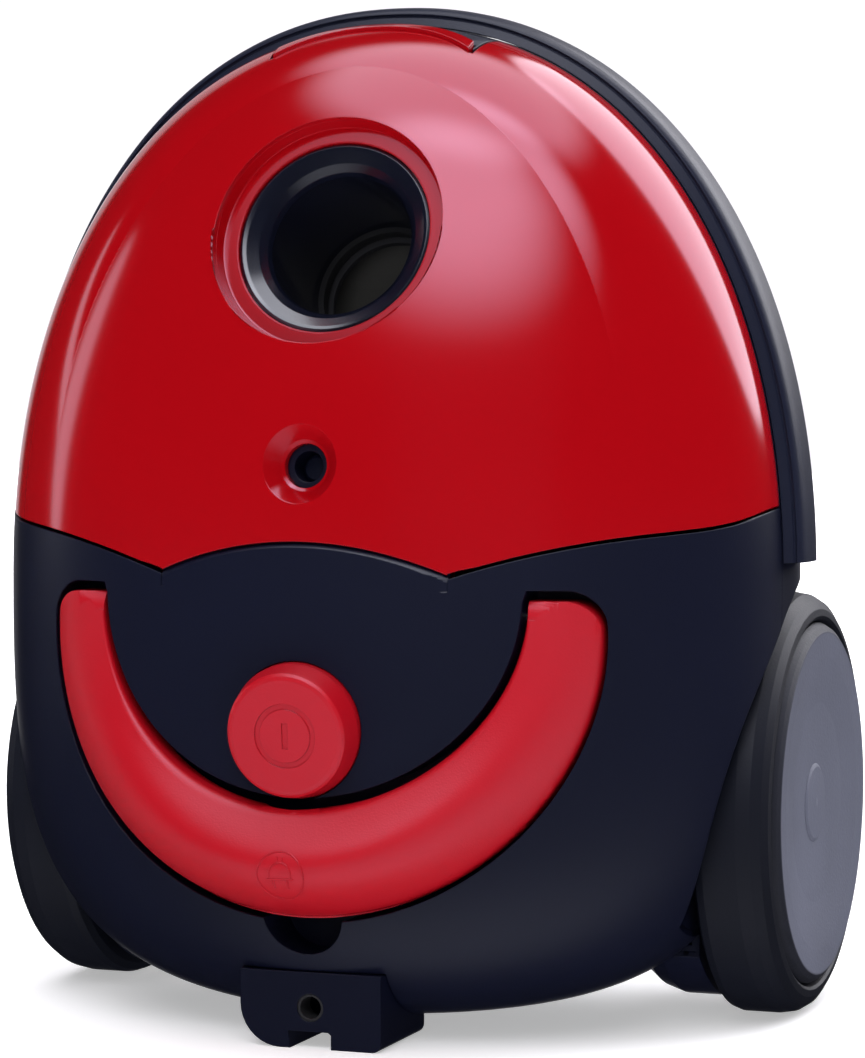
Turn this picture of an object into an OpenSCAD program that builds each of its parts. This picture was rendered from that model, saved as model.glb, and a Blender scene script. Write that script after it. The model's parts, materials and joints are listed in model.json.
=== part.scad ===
// Compact bagged canister vacuum cleaner, parked upright on its rear end.
// Millimetres. +Z up (front end of the cleaner up), -Y the carrying side, +Y the underside.
// The origin is on the floor, under the middle of the cleaner.

/* [Body shells] */
// Half of the body's width at its widest level
body_half_w = 137; // [136:0.5:138]
// Height of the dome's top above the floor
body_top = 336; // [335:0.5:337]
// Height of the body's rounded lower end above the floor
body_bottom = 5; // [4:0.5:6]
// Depth of the front shells, from the parting plane to the crown
front_depth = 88.2; // [87:0.2:89]
// Depth of the base pan, from the parting plane to the underside
back_depth = 84; // [82:0.5:85]
// Wall of every moulded shell
wall = 2.8; // [2.4:0.1:3]

/* [Seam and lid hinge] */
// Half of the distance between the two points of the seam
tip_x = 49.5; // [48:0.5:51]
// Height of the seam's arc at the middle
seam_peak_z = 165.2; // [164:0.2:166]
// Gap between the dust cover and the rear cover
seam_gap = 1.2; // [1:0.1:1.5]

/* [Handle and button] */
// Half width of the handle's outer edge
handle_out_w = 95.2; // [94:0.2:96]
// Half width of the handle's inner edge
handle_in_w = 73.5; // [72:0.5:74]
// Radius of the power button's face
button_r = 20.4; // [19:0.1:20.8]
// Travel of the power button
button_travel = 4; // [3:0.5:4]

/* [Hose inlet] */
// Radius of the hose socket's bore
inlet_bore_r = 24.3; // [23:0.1:25]
// Radius of the round recess around the socket
inlet_recess_r = 40.2; // [39:0.2:41]

/* [Wheels] */
// Radius of the large wheels
wheel_r = 72; // [71:0.5:72]
// Distance of a wheel's outer face from the middle plane
wheel_face_x = 140; // [139:0.5:141]
// Radius of the wheel axle stubs
axle_r = 5; // [4:0.25:6]

/* [Parking bracket] */
// Width of the parking bracket
bracket_w = 49; // [46:1:50]
// Radius of the cord outlet's bore
cord_hole_r = 3.6; // [3.4:0.1:3.8]

/* [Hidden] */

split_y = -9;          // plane where the front shells meet the base pan
wide_z = 150;          // level where the body is widest
crown_z = 130;         // level where the body is deepest
dome_n = 2.15;         // roundness of the outline above the widest level
foot_n = 3.2;          // roundness of the outline below it
rim_proud = 7.5;       // how far the bumper rim stands out from the outline
e = 0.01;

hinge_y = -84.5;       // lid hinge axis
hinge_z = 151;
seam_tip_z = 155;
seam_arc_drop = seam_peak_z - seam_tip_z;

swing_y = -74.5;       // handle hinge axis
swing_z = 141;
swing_x = 84;

button_z = 103.8;
button_y = -106;       // plane of the button's face
inlet_y = -71.6;
inlet_z = 266.5;
inlet_tilt = 69.7;     // from +Z to the inlet's outward direction
indicator_z = 190;

axle_y = 38.2;
well_r = 79;
well_x = 109.3;        // inner wall of the wheel wells

motor_x = 34;
motor_z = 40;
reel_x = -73;
reel_y = 0;
reel_z = 86;
brake_x = -52;
brake_y = -57;
brake_z = 60;
reel_r = 54;
caster_z = 282;
caster_r = 18;

// ---- shape of the body ----
function se(t, n) = pow(max(0, 1 - pow(abs(t), n)), 1 / n);
function up(z, mid) = (z - mid) / (body_top - mid);
function down(z, mid) = (mid - z) / (mid - body_bottom);
function half_w(z) = body_half_w * (z > wide_z ? se(up(z, wide_z), dome_n) : se(down(z, wide_z), foot_n));
function front_d(z) = front_depth * (z > crown_z ? se(up(z, crown_z), 2) : se(down(z, crown_z), 4));
function back_d(z) = back_depth * (z > wide_z ? se(up(z, wide_z), 3) : se(down(z, wide_z), 5));
function front_y(x, z) = split_y - front_d(z) * se(x / half_w(z), 2);

// One level of a half shell: a half ellipse (n = 2) or a squarer curve, closed along the parting plane
function level(z, z_out, kx, depth, n, side, reach, steps) =
  let (a = half_w(z_out) * kx)
  concat(
    [for (i = [0:steps])
      let (u = 180 * i / steps, c = cos(u), s = sin(u))
      [-side * a * sign(c) * pow(abs(c), 2 / n), split_y + side * depth * pow(abs(s), 2 / n), z]],
    reach > 0 ? [[side * a, split_y - side * reach, z], [-side * a, split_y - side * reach, z]] : []);

module loft(rings) {
  n = len(rings[0]);
  m = len(rings);
  sides = [for (i = [0:m - 2], j = [0:n - 1])
    let (a = i * n + j, b = i * n + (j + 1) % n)
    each [[a, b, b + n], [a, b + n, a + n]]];
  polyhedron(
    points = [for (r = rings) each r],
    faces = concat([[for (j = [n - 1:-1:0]) j]], [[for (j = [0:n - 1]) (m - 1) * n + j]], sides),
    convexity = 8);
}

// The front (side -1) or back (side 1) half of the body, moved in by inset all round
module half_body(side, inset = 0, reach = 0) {
  steps = side < 0 ? 26 : 20;
  levels = side < 0 ? 14 : 11;
  depth = side < 0 ? front_depth : back_depth;
  mid = 140;
  kx = 1 - inset / body_half_w;
  ky = 1 - inset / depth;
  loft([for (i = [-levels:levels])
    let (
      s = sin(88 * i / levels),
      z_out = mid + s * (i > 0 ? body_top - mid : mid - body_bottom),
      z = mid + s * (i > 0 ? body_top - mid - inset : mid - body_bottom - inset),
      d = (side < 0 ? front_d(z_out) : back_d(z_out)) * ky)
    level(z, z_out, kx, d, side < 0 ? 2 : 3.2, side, reach, steps)]);
}

// A profile of [outward offset, y] points carried round the body's outline, over the dome
module outline_sweep(profile, end_angle = 90, steps = 44) {
  loft([for (i = [0:steps])
    let (v = end_angle * (2 * i / steps - 1), c = pow(abs(cos(v)), 2 / dome_n))
    let (s = sign(v) * pow(abs(sin(v)), 2 / dome_n))
    [for (p = profile)
      [(body_half_w + p[0]) * s, p[1], wide_z + (body_top - wide_z + p[0]) * max(c, 0)]]]);
}

// Freeform mouldings are meshed as one skin
module moulded() { resize([0, 0, 0]) children(); }

// ---- the seam between dust cover and rear cover ----
function side_u(x) = (abs(x) - tip_x) / (body_half_w - tip_x);
function side_seam(x) = seam_tip_z + 14.5 * (1 - pow(1 - side_u(x), 2)) + 7 * pow(side_u(x), 14);
function arc_seam(x) = seam_peak_z - seam_arc_drop * pow(x / tip_x, 2);
function barrel_r(x) = norm([front_y(x, arc_seam(x)) - hinge_y, arc_seam(x) - hinge_z]);

module seam_barrel(shrink) {
  steps = 12;
  translate([0, hinge_y, hinge_z]) rotate([0, 90, 0]) rotate_extrude($fn = 48)
    polygon(concat(
      [[0, -tip_x]],
      [for (i = [-steps:steps]) let (x = tip_x * i / steps) [barrel_r(x) - shrink, x]],
      [[0, tip_x]]));
}

module above_seam(drop) {
  steps = 14;
  side = [for (i = [0:steps]) tip_x + (body_half_w + 5 - tip_x) * i / steps];
  rise = [for (x = side) [x, side_seam(min(x, body_half_w)) - drop]];
  fall = [for (i = [steps:-1:0]) [-rise[i][0], rise[i][1]]];
  rotate([90, 0, 0]) translate([0, 0, -150]) linear_extrude(300)
    polygon(concat(fall, [[-tip_x, hinge_z - drop], [tip_x, hinge_z - drop]], rise,
      [[150, 400], [-150, 400]]));
}

// ---- the handle's outline ----
function out_edge(a) = [handle_out_w * sin(a), 135 - 91.4 * cos(a)];
function in_edge(a) = [handle_in_w * sin(a), 147 - 67.2 * cos(a)];
module handle_outline() {
  steps = 20;
  polygon(concat(
    [for (i = [-steps:steps]) out_edge(90 * i / steps)],
    [for (a = [20:20:80]) [84 + 11.2 * cos(a), 136 + 11 * sin(a)]],
    [for (i = [steps:-1:-steps]) in_edge(90 * i / steps)],
    [for (a = [100:20:160]) [-84 + 11.2 * cos(a), 136 + 11 * sin(a)]]));
}
module handle_prism(grow) {
  rotate([90, 0, 0]) translate([0, 0, 30]) linear_extrude(100) offset(delta = grow) handle_outline();
}

// ---- small helpers ----
module x_cyl(r, x0, x1, fn = 96) { translate([x0, 0, 0]) rotate([0, 90, 0]) cylinder(h = x1 - x0, r = r, $fn = fn); }
module y_cyl(r, y0, y1, fn = 96) { translate([0, y1, 0]) rotate([90, 0, 0]) cylinder(h = y1 - y0, r = r, $fn = fn); }
module box(lo, hi) { translate(lo) cube(hi - lo); }
module both_sides() { children(); mirror([1, 0, 0]) children(); }
module turned(points, fn = 96) { rotate_extrude($fn = fn) polygon(points); }
module tube(r_out, r_in, z0, z1) { turned([[r_in, z0], [r_out, z0], [r_out, z1], [r_in, z1]]); }

module at_inlet() { translate([0, inlet_y, inlet_z]) rotate([inlet_tilt, 0, 0]) children(); }
module at_indicator() { translate([0, front_y(0, indicator_z), indicator_z]) rotate([82.5, 0, 0]) children(); }
module at_button() { translate([0, button_y, button_z]) rotate([95.9, 0, 0]) children(); }
module at_hinge() { translate([0, hinge_y, hinge_z]) children(); }
module at_swing() { translate([0, swing_y, swing_z]) children(); }
module at_axle() { translate([0, axle_y, wheel_r]) children(); }
module at_motor() { translate([motor_x, 0, motor_z]) children(); }
module at_reel() { translate([reel_x, reel_y, reel_z]) rotate([0, 90, 0]) children(); }
module at_caster() { translate([0, 0, caster_z]) rotate([-90, 0, 0]) children(); }

// A compression spring along +Z
module coil_spring(r, wire, length, turns) {
  per_turn = 8;
  n = turns * per_turn;
  loft([for (i = [0:n])
    let (a = 360 * i / per_turn, z = wire + (length - 2 * wire) * i / n)
    [for (j = [0:4]) let (b = -72 * j, q = r + wire * cos(b)) [q * cos(a), q * sin(a), z + wire * sin(b)]]]);
}

// ---- front shells ----
module front_skin() {
  difference() {
    half_body(-1);
    half_body(-1, wall, 2);
    box([-200, split_y - 0.5, -10], [200, split_y + 5, 400]);
  }
}

module well_liner() {
  both_sides() at_axle() x_cyl(well_r + 2.5, well_x - 2.5, 160, 56);
}

// The four case screws, two low and two beside the bulkhead
module at_screws() {
  both_sides() {
    translate([40, 0, 15]) children();
    translate([95, 0, 144.3]) children();
  }
}

module well_void() { both_sides() at_axle() x_cyl(well_r, well_x, 160, 56); }

module groove_void() {
  difference() {
    union() {
      handle_prism(1.5);
      translate([0, 0, 1.8]) handle_prism(1.5);
    }
    half_body(-1, 15, 2);
  }
}

module rear_cover() {
  color("#20232f") moulded() difference() {
    union() {
      intersection() {
        front_skin();
        union() {
          difference() {
            box([-200, -200, 0], [200, 0, 200]);
            above_seam(seam_gap);
          }
          seam_barrel(seam_gap);
        }
      }
      // Walls of the handle groove, finger recess, button collar and wheel wells
      intersection() {
        half_body(-1);
        box([-200, -200, 0], [200, split_y - 0.5, hinge_z + 5.5]);
        union() {
          difference() {
            handle_prism(4);
            half_body(-1, 17.4, 2);
          }
          translate([0, 0, 45]) y_cyl(16, -120, -68, 32);
          at_button() {
            translate([0, 0, -26.6]) cylinder(h = 36, r = 24.6, $fn = 40);
            for (x = [-28, 28], y = [-15.5, 15.5]) translate([x, y, -44]) cylinder(h = 50, r = 2.5, $fn = 14);
          }
          well_liner();
          at_screws() y_cyl(5, -100, split_y, 18);
          at_hinge() both_sides() x_cyl(5, 40, 43.6, 20);
        }
      }
    }
    groove_void();
    translate([0, 0, 45]) y_cyl(13.7, -120, -70.4, 48);
    at_button() {
      translate([0, 0, -24]) cylinder(h = 44, r = 22.3, $fn = 64);
      translate([0, 0, -30]) cylinder(h = 10, r = 4.2, $fn = 48);
    }
    well_void();
    at_hinge() both_sides() x_cyl(1.7, 38, 49.5, 16);
    at_screws() y_cyl(2.15, -32, 0, 14);
    // Pocket for the parking bracket
    box([-bracket_w / 2 - 0.4, -120, -1], [bracket_w / 2 + 0.4, -42, 25.4]);
    at_swing() both_sides() x_cyl(2.25, 60, 74, 32);
  }
}

// Arms bent back so that they clear the rear cover's edge
module hinge_arms() {
  at_hinge() both_sides() {
    x_cyl(3.4, 44.4, 47.2, 20);
    rotate([-50, 0, 0]) box([44.4, -1.8, 0], [47.2, 1.8, 13]);
    box([44.4, -6, 9.2], [47.2, 11, 12.5]);
  }
}

module dust_cover() {
  recess_depth = 9;
  color("#c8101c") moulded() difference() {
    union() {
      intersection() {
        front_skin();
        above_seam(0);
      }
      intersection() {
        half_body(-1);
        union() {
          at_inlet() translate([0, 0, -11.8]) cylinder(h = 60, r = inlet_recess_r + 2.6, $fn = 72);
          at_indicator() translate([0, 0, -8.6]) cylinder(h = 12, r1 = 10, r2 = 16, $fn = 48);
          // Shelf under the latch springs
          box([-15, -52, 308.5], [15, split_y - 3, 311.2]);
          hinge_arms();
        }
      }
    }
    difference() {
      seam_barrel(0);
      hinge_arms();
    }
    at_hinge() both_sides() {
      x_cyl(7, 49.3, 62, 24);
      x_cyl(1.7, 38, 49.5, 16);
    }
    at_inlet() {
      translate([0, 0, -recess_depth]) cylinder(h = recess_depth + e, r1 = inlet_recess_r - 1.6, r2 = inlet_recess_r, $fn = 72);
      cylinder(h = 30, r = inlet_recess_r, $fn = 72);
      translate([0, 0, -20]) cylinder(h = 20, r = 33.3, $fn = 72);
    }
    at_indicator() {
      translate([0, 0, -6]) cylinder(h = 7.2, r1 = 7.2, r2 = 13.9, $fn = 48);
      translate([0, 0, -20]) cylinder(h = 20, r = 7.2, $fn = 48);
    }
    latch_window(0.3);
    box([-9, -21, 300], [9, split_y, 320]);
  }
}

// ---- latch at the top of the dome ----
function lip_y(x) = -15.8 - 9 * pow(x / 35, 2);
module lip_band(front, back, half_x, z0, z1) {
  steps = 10;
  xs = [for (i = [-steps:steps]) half_x * i / steps];
  translate([0, 0, z0]) linear_extrude(z1 - z0) polygon(concat(
    [for (x = xs) [x, lip_y(x) + front]],
    [for (i = [2 * steps:-1:0]) [xs[i], back > 50 ? split_y + 3 : lip_y(xs[i]) + back]]));
}

module latch_window(gap) {
  lip_band(-5 - gap, 99, 35 + gap, 311.2, 345);
  both_sides() translate([0, 0, 311.2]) linear_extrude(33)
    polygon([[34.9, -30], [36.4, -30], [40.4, split_y + 3], [34.9, split_y + 3]]);
}

module dome_plate(proud, depth) {
  difference() {
    half_body(-1, -proud);
    half_body(-1, depth, 2);
  }
}

module latch_tab() {
  color("#c8101c") moulded() union() {
    intersection() {
      dome_plate(1.2, wall);
      lip_band(-5, 0, 35, 314, 345);
    }
    // Tongue that holds the lid shut, hung from the lip
    box([-8, -20.4, 319.4], [8, -16.2, 332.5]);
    box([-8, -20.4, 316.6], [8, -4, 319.4]);
  }
}

module latch_spring() {
  color("silver") both_sides() translate([11.6, -19.4, 311.2]) coil_spring(2.2, 0.4, 19, 6);
}

module latch_pin() {
  // Guide pins inside the two springs
  color("silver") both_sides() translate([11.6, -19.4, 311.2]) cylinder(h = 9, r = 1.4, $fn = 32);
}

// ---- base pan and its rim ----
module wheel_boss(thin) {
  r = 67 - thin;
  x1 = thin > 0 ? well_x - thin : well_x + 2;
  at_axle() rotate([0, 90, 0]) turned([[0, 78 + thin], [r - 12, 78 + thin], [r - 2, 90], [r, 96], [r, x1], [0, x1]], 48);
}

module base_pan() {
  color("#20232f") moulded() difference() {
    union() {
      difference() {
        union() {
          half_body(1);
          intersection() {
            both_sides() wheel_boss(0);
            box([-200, split_y, 0], [200, 200, 200]);
          }
        }
        half_body(1, wall, 2);
        both_sides() wheel_boss(2.6);
      }
      // Shelves under the motor and the reel, rail under the bulkhead, screw pillars
      intersection() {
        half_body(1, 0, 30);
        union() {
          box([-6, -30, 33.4], [74, 90, 36.4]);
          box([reel_x - 6, -8.9, 24], [reel_x + 42, 90, 27]);
          box([-100, 52, 146.2], [100, 90, 149.5]);
          at_screws() y_cyl(5, split_y, 90, 18);
        }
      }
      intersection() {
        half_body(1);
        well_liner();
      }
      // Black nose behind the lip
      intersection() {
        dome_plate(0, 4);
        union() {
          lip_band(0.8, 99, 35, 314, 345);
          both_sides() translate([0, 0, 314]) linear_extrude(30)
            polygon([[34.8, -23.2], [35.4, -23.6], [35.4, -27], [35.7, -27], [39.6, split_y + 3], [34.8, split_y + 3]]);
        }
        box([-60, -60, 300], [60, split_y + e, 345]);
      }
      box([-8, split_y - 1, 320.2], [8, split_y + 12, 334]);
      // Collar for the caster's swivel
      at_caster() translate([0, 0, 50]) cylinder(h = 16, r = 22, $fn = 48);
    }
    well_void();
    at_caster() translate([0, 0, 40]) cylinder(h = 40, r = 18.2, $fn = 48);
    both_sides() at_axle() x_cyl(axle_r + 1, 80, 120, 32);
    // Flat seat round the caster's swivel
    at_caster() translate([0, 0, 66.1]) cylinder(h = 20, r = 21.8, $fn = 48);
    at_screws() {
      y_cyl(4, -3, 90, 18);
      y_cyl(2.15, -12, 0, 14);
    }
    // Opening for the exhaust grille
    box([-62, 60, 62], [62, 90, 128]);
  }
}

module bumper_rim() {
  color("#2b2e3c") moulded() outline_sweep([
    [0.4, -8.6], [0.4, 14], [rim_proud - 3.4, 16], [rim_proud - 0.7, 11], [rim_proud, 4],
    [rim_proud - 0.6, -4], [rim_proud - 2.4, -6.4], [3, -7.2]], 88.5);
}

module cover_seal() {
  color("#15161a") moulded() difference() {
    outline_sweep([[-6.4, split_y - 4], [-6.4, split_y + 2], [-3.4, split_y + 2], [-3.4, split_y - 4]], 82);
    box([-46, split_y - 6, 300], [46, split_y + 0.1, 345]);
    box([-8.5, split_y - 6, 300], [8.5, split_y + 5, 345]);
  }
}

// ---- lid hinge, inlet and bag-full indicator ----
module hinge_pins() {
  color("silver") both_sides() at_hinge() x_cyl(1.6, 39.5, 47.8, 32);
}

module hose_inlet() {
  b = inlet_bore_r;
  color("#14151c") at_inlet() turned([
    [b, -60], [b, -16.5], [b + 0.8, -14.6], [b + 3, -12.2], [b + 6.6, -9.9], [b + 7.8, -9.4], [b + 8.7, -9.9],
    [b + 8.7, -12.1], [b + 12, -12.1], [b + 12, -15], [b + 8.7, -15], [b + 4.6, -18], [b + 3, -21], [b + 3, -60]]);
}

module inlet_seal() {
  b = inlet_bore_r;
  color("#3a3a3d") at_inlet() turned([[b - 2, -64], [b + 5, -64], [b + 5, -60], [b - 2, -60]]);
}

module indicator_housing() {
  color("#14151c") at_indicator() difference() {
    turned([[0, -32], [7.6, -32], [7.6, -12], [11, -12], [11, -9.0], [7.1, -9.0], [7.1, -8.8], [0, -8.8]], 64);
    translate([0, 0, -30]) cylinder(h = 40, r = 5.05, $fn = 64);
  }
}

module indicator_slider() {
  color("#c8101c") at_indicator() turned([[0, -22], [5, -22], [5, -16.5], [3.6, -15], [0, -15]], 64);
}

module indicator_spring() {
  color("silver") at_indicator() translate([0, 0, -30]) coil_spring(3.4, 0.35, 8, 5);
}

// ---- carrying handle ----
function lift(a) = pow(cos(a), 2);
function handle_proud(a, w) =
  let (f = lift(a), v = pow(max(w, 0), 1.3))
  (0.4 + 4.6 * f) * (1 - w) + (0.4 - 3.4 * f) * w + (2 + 13 * f) * 4 * v * (1 - v);

function handle_ring(a, rise) =
  let (p_in = in_edge(a) + [0, rise], p_out = out_edge(a) + [0, 3.4 * rise], across = 9)
  let (flat = function (w) p_in + (p_out - p_in) * w)
  concat(
    [for (j = [0:across])
      let (w = 1.1 * j / across - 0.05, p = flat(w), y = front_y(p[0], min(p[1], 160)))
      [p[0], y - handle_proud(a, min(max(w, 0), 1)), p[1]]],
    [for (w = [1.05, 0.66, 0.33, -0.05])
      let (p = flat(w))
      [p[0], front_y(p[0], min(p[1], 160)) + 12 - 10 * lift(a), p[1]]]);

// What the lower half of the button would sweep round the handle's hinge
module button_sweep() {
  steps = 10;
  xs = [for (i = [-steps:steps]) button_r * sin(90 * i / steps)];
  at_swing() rotate([0, 90, 0]) rotate_extrude($fn = 128)
    polygon(concat([[0, -button_r]],
      [for (x = xs) [norm([swing_y - button_y, swing_z - button_z + sqrt(pow(button_r, 2) - x * x)]) + 0.8, x]],
      [[0, button_r]]));
}

module carry_handle() {
  steps = 17;
  stations = concat(
    [handle_ring(90, 5)],
    [for (i = [steps:-1:-steps]) handle_ring(88.6 * i / steps, 0)],
    [handle_ring(-90, 5)]);
  color("#c8101c") difference() {
    moulded() difference() {
      intersection() {
        loft(stations);
        handle_prism(0);
      }
      // Room for the lower edge to pass the power button
      button_sweep();
      // Rounded upper ends
      at_swing() both_sides() difference() {
        box([60, -20, 0], [100, 0, 20]);
        x_cyl(8.6, 50, 110, 48);
      }
    }
    at_swing() both_sides() x_cyl(2.05, 60, 86, 48);
  }
}

module handle_pins() {
  color("silver") at_swing() both_sides() x_cyl(2, 64, 84.5, 48);
}

// ---- power button and switch ----
module power_button() {
  r = button_r;
  base = r + 1.5;
  color("#d2121e") at_button() difference() {
    union() {
      turned([[0, -3], [0, 0], [r - 2.4, 0], [r - 1.2, -0.3], [r - 0.35, -1], [r, -2.1], [base, -8.2],
        [base, -14], [base - 2.2, -14], [base - 2.2, -8], [r - 2.4, -3]]);
      translate([0, 0, -24]) cylinder(h = 22, r = 3, $fn = 48);
    }
    // Engraved power mark: a ring and a bar
    translate([0, 0, -0.5]) tube(10.4, 8.6, 0, 1);
    translate([-1, -4.2, -0.5]) cube([2, 8.4, 1]);
  }
}

module button_spring() {
  color("silver") at_button() translate([0, 0, -24]) coil_spring(5, 0.45, 20.8, 6);
}

module power_switch() {
  color("#2a2a2e") at_button() difference() {
    translate([-10, -7, -44]) cube([20, 14, 20 - button_travel - 0.3]);
    translate([0, 0, -30]) cylinder(h = 8, r = 1.5, $fn = 24);
  }
}

module control_board() {
  color("#1c5a34") at_button() translate([-32, -20, -45.6]) cube([64, 40, 1.6]);
}

// ---- parking bracket and cord outlet ----
module bracket_outline() {
  w = bracket_w / 2;
  round_r = 14;
  polygon(concat(
    [for (a = [180:10:270]) [-w + round_r + round_r * cos(a), round_r + round_r * sin(a)]],
    [[-7, 0], [-7.8, 5.6], [6.2, 5.6], [7.2, 4.8], [7.2, 0]],
    [for (a = [270:15:360]) [w - 3 + 3 * cos(a), 3 + 3 * sin(a)]],
    [[w, 25], [-w, 25]]));
}

module parking_bracket() {
  front = -84.6;
  color("#20232f") difference() {
    translate([0, -44, 0]) rotate([90, 0, 0]) linear_extrude(-44 - front) bracket_outline();
    // Hollow behind the front wall, open below as the slot for the tool's hook
    box([-17, front + 4, 5.6], [17, -48, 22]);
    box([-7, front + 4, -1], [7, -48, 6]);
    translate([0, 0, 13.4]) y_cyl(4.6, front - 1, front + 6, 64);
  }
}

module cord_outlet() {
  color("#101014") translate([0, -84.6, 13.4]) rotate([-90, 0, 0])
    turned([[cord_hole_r, 0.4], [4.6, 0.4], [4.6, 4], [6.6, 4], [6.6, 6.5], [5.4, 6.5], [5.4, 9], [cord_hole_r, 9]]);
}

// ---- bag chamber ----
module chamber_outline(half_x, y0, y1, n = 2.6) {
  mid = (y0 + y1) / 2;
  half_y = (y1 - y0) / 2;
  polygon([for (a = [0:9:351])
    [half_x * sign(cos(a)) * pow(abs(cos(a)), 2 / n), mid + half_y * sign(sin(a)) * pow(abs(sin(a)), 2 / n)]]);
}

module bulkhead() {
  color("#3b3d46") difference() {
    translate([0, 0, 149.6]) linear_extrude(3) chamber_outline(106, -70, 62);
    // Grille in front of the motor
    for (i = [-4:4])
      translate([motor_x - 2 + 8 * i, 0, 149]) translate([0, -30, 0]) cube([4.5, 60, 5]);
  }
}

module filter_frame() {
  color("#5a5c66") translate([motor_x, 0, 152.6]) difference() {
    translate([-42, -36, 0]) cube([84, 72, 9]);
    translate([-39, -33, -1]) cube([78, 66, 12]);
  }
}

module motor_filter() {
  color("#303236") translate([motor_x - 38.7, -32.7, 152.8]) cube([77.4, 65.4, 8]);
}

module bag_at(levels = 12, steps = 18) {
  loft([for (i = [0:levels])
    let (v = sin(88 * (2 * i / levels - 1)), k = se(v, 2.6))
    [for (j = [0:steps - 1])
      let (a = -360 * j / steps, c = cos(a), s = sin(a))
      [84 * k * sign(c) * pow(abs(c), 0.8), 29 + 20 * k * sign(s) * pow(abs(s), 0.8), 232 + 63 * v]]]);
}

module dust_bag() { color("#d9c9a3") moulded() bag_at(); }

module bag_collar() {
  color("#b59a68") at_inlet() difference() {
    translate([-45, -38, -68.5]) cube([90, 76, 2.5]);
    translate([0, 0, -70]) cylinder(h = 6, r = 21, $fn = 72);
  }
}

module bag_holder() {
  // Slotted plate behind the collar on two posts that stand on the bulkhead
  color("#4a4c55") difference() {
    union() {
      at_inlet() translate([0, 0, -71.6]) linear_extrude(3) polygon([
        [-84, -44], [84, -44], [84, -30], [56, -30], [56, 34], [-56, 34], [-56, -30], [-84, -30]]);
      both_sides() box([78, -22.5, 152.6], [82, -16.5, 204]);
    }
    at_inlet() translate([0, 0, -74]) cylinder(h = 8, r = 26, $fn = 72);
  }
}

// ---- motor and fan ----
module motor_housing() {
  color("#8d9097") at_motor() difference() {
    turned([[0, 0], [36, 0], [40, 4], [40, 62], [0, 62]]);
    translate([0, 0, 3]) cylinder(h = 60, r = 37, $fn = 96);
    translate([0, 0, -1]) cylinder(h = 10, r = 8, $fn = 64);
    for (a = [0:45:315]) rotate([0, 0, a]) translate([30, -5, 12]) cube([14, 10, 30]);
  }
}

module fan_housing() {
  color("#b9bcc2") at_motor() turned([
    [12, 62.2], [46, 62.2], [50, 66], [50, 96], [47, 100], [20, 104], [20, 101.6], [44, 98], [47.6, 95],
    [47.6, 67.4], [45, 64.8], [12, 64.8]]);
}

module motor_rotor() {
  color("#a06a3a") at_motor() turned([
    [0, -1.5], [3.96, -1.5], [3.96, 14], [14, 14], [14, 20], [6, 20], [6, 24], [24, 24], [24, 50], [6, 50],
    [6, 54], [3.96, 54], [3.96, 96], [0, 96]]);
}

module fan_impeller() {
  blades = 9;
  color("#d5d7db") at_motor() difference() {
    union() {
      turned([[4, 70], [44, 70], [44, 71.6], [9, 71.6], [9, 92], [4, 92]]);
      turned([[18, 91.6], [18, 93], [44, 84], [44, 82.6]]);
      for (i = [0:blades - 1]) rotate([0, 0, 360 * i / blades]) translate([9, -0.6, 71])
        rotate([90, 0, 0]) translate([0, 0, -0.6]) linear_extrude(1.2)
          polygon([[-1, 0], [34.5, 0], [34.5, 12.2], [10, 21], [-1, 20]]);
    }
    translate([0, 0, 60]) cylinder(h = 40, r = 4, $fn = 64);
  }
}

module motor_bearings() {
  color("silver") at_motor() {
    tube(8, 4, 0.2, 7);
    tube(11.9, 4, 57, 64.6);
  }
}

module motor_mounts() {
  color("#1a1a1c") at_motor() {
    turned([[14, -3.6], [24, -3.6], [24, 0], [14, 0]]);
    turned([[22, 104.2], [34, 104.2], [34, 105.5], [30, 109.5], [22, 109.5]]);
  }
}

// ---- exhaust ----
module exhaust_grille() {
  color("#20232f") difference() {
    box([-61.6, 71.2, 62.4], [61.6, 74.2, 127.6]);
    for (i = [-6:6])
      box([-52, 66, 94 + 4.6 * i], [52, 80, 96.4 + 4.6 * i]);
  }
}

module exhaust_filter() { color("#e8e8e4") box([-58, 63, 64.5], [58, 71.2, 125.5]); }

// ---- cord reel ----
module reel_drum() {
  color("#33353c") at_reel() difference() {
    turned([[6.05, 2], [reel_r, 2], [reel_r, 4.4], [26, 4.4], [26, 37], [reel_r, 37], [reel_r, 39.4], [6.05, 39.4]]);
    translate([0, 0, 6]) tube(23, 9, 0, 40);
  }
}

module reel_frame() {
  color("#44474f") {
    at_reel() union() {
      cylinder(h = 40.6, r = 6, $fn = 64);
      translate([0, 0, -3]) cylinder(h = 3, r = 40, $fn = 96);
    }
    // Foot on the pan's shelf
    box([reel_x - 3, -8, 27], [reel_x + 40, 34, 30.6]);
    box([reel_x - 3, -8, 27], [reel_x, 34, 60]);
    // Arm that carries the brake's pin
    difference() {
      box([reel_x - 3, -63, 54], [reel_x, -20, 66]);
      translate([0, brake_y, brake_z]) x_cyl(2.02, -90, -60, 48);
    }
  }
}

module reel_spring() {
  color("silver") at_reel() tube(21, 9.4, 8, 18);
}

module brake_lever() {
  color("#d8d8d4") translate([brake_x, brake_y, brake_z]) difference() {
    union() {
      x_cyl(5, -6, 6, 48);
      box([-3, -2, -24], [3, 2, 0]);
      box([-3, -3, 0], [3, 1, 12]);
    }
    x_cyl(2.05, -8, 8, 48);
  }
}

module brake_pin() {
  color("silver") translate([brake_x, brake_y, brake_z]) x_cyl(2, reel_x - 3 - brake_x, 8, 48);
}

// ---- large wheels ----
module wheel_at_left() { at_axle() rotate([0, -90, 0]) children(); }
module wheel_at_right() { at_axle() rotate([0, 90, 0]) children(); }

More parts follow.
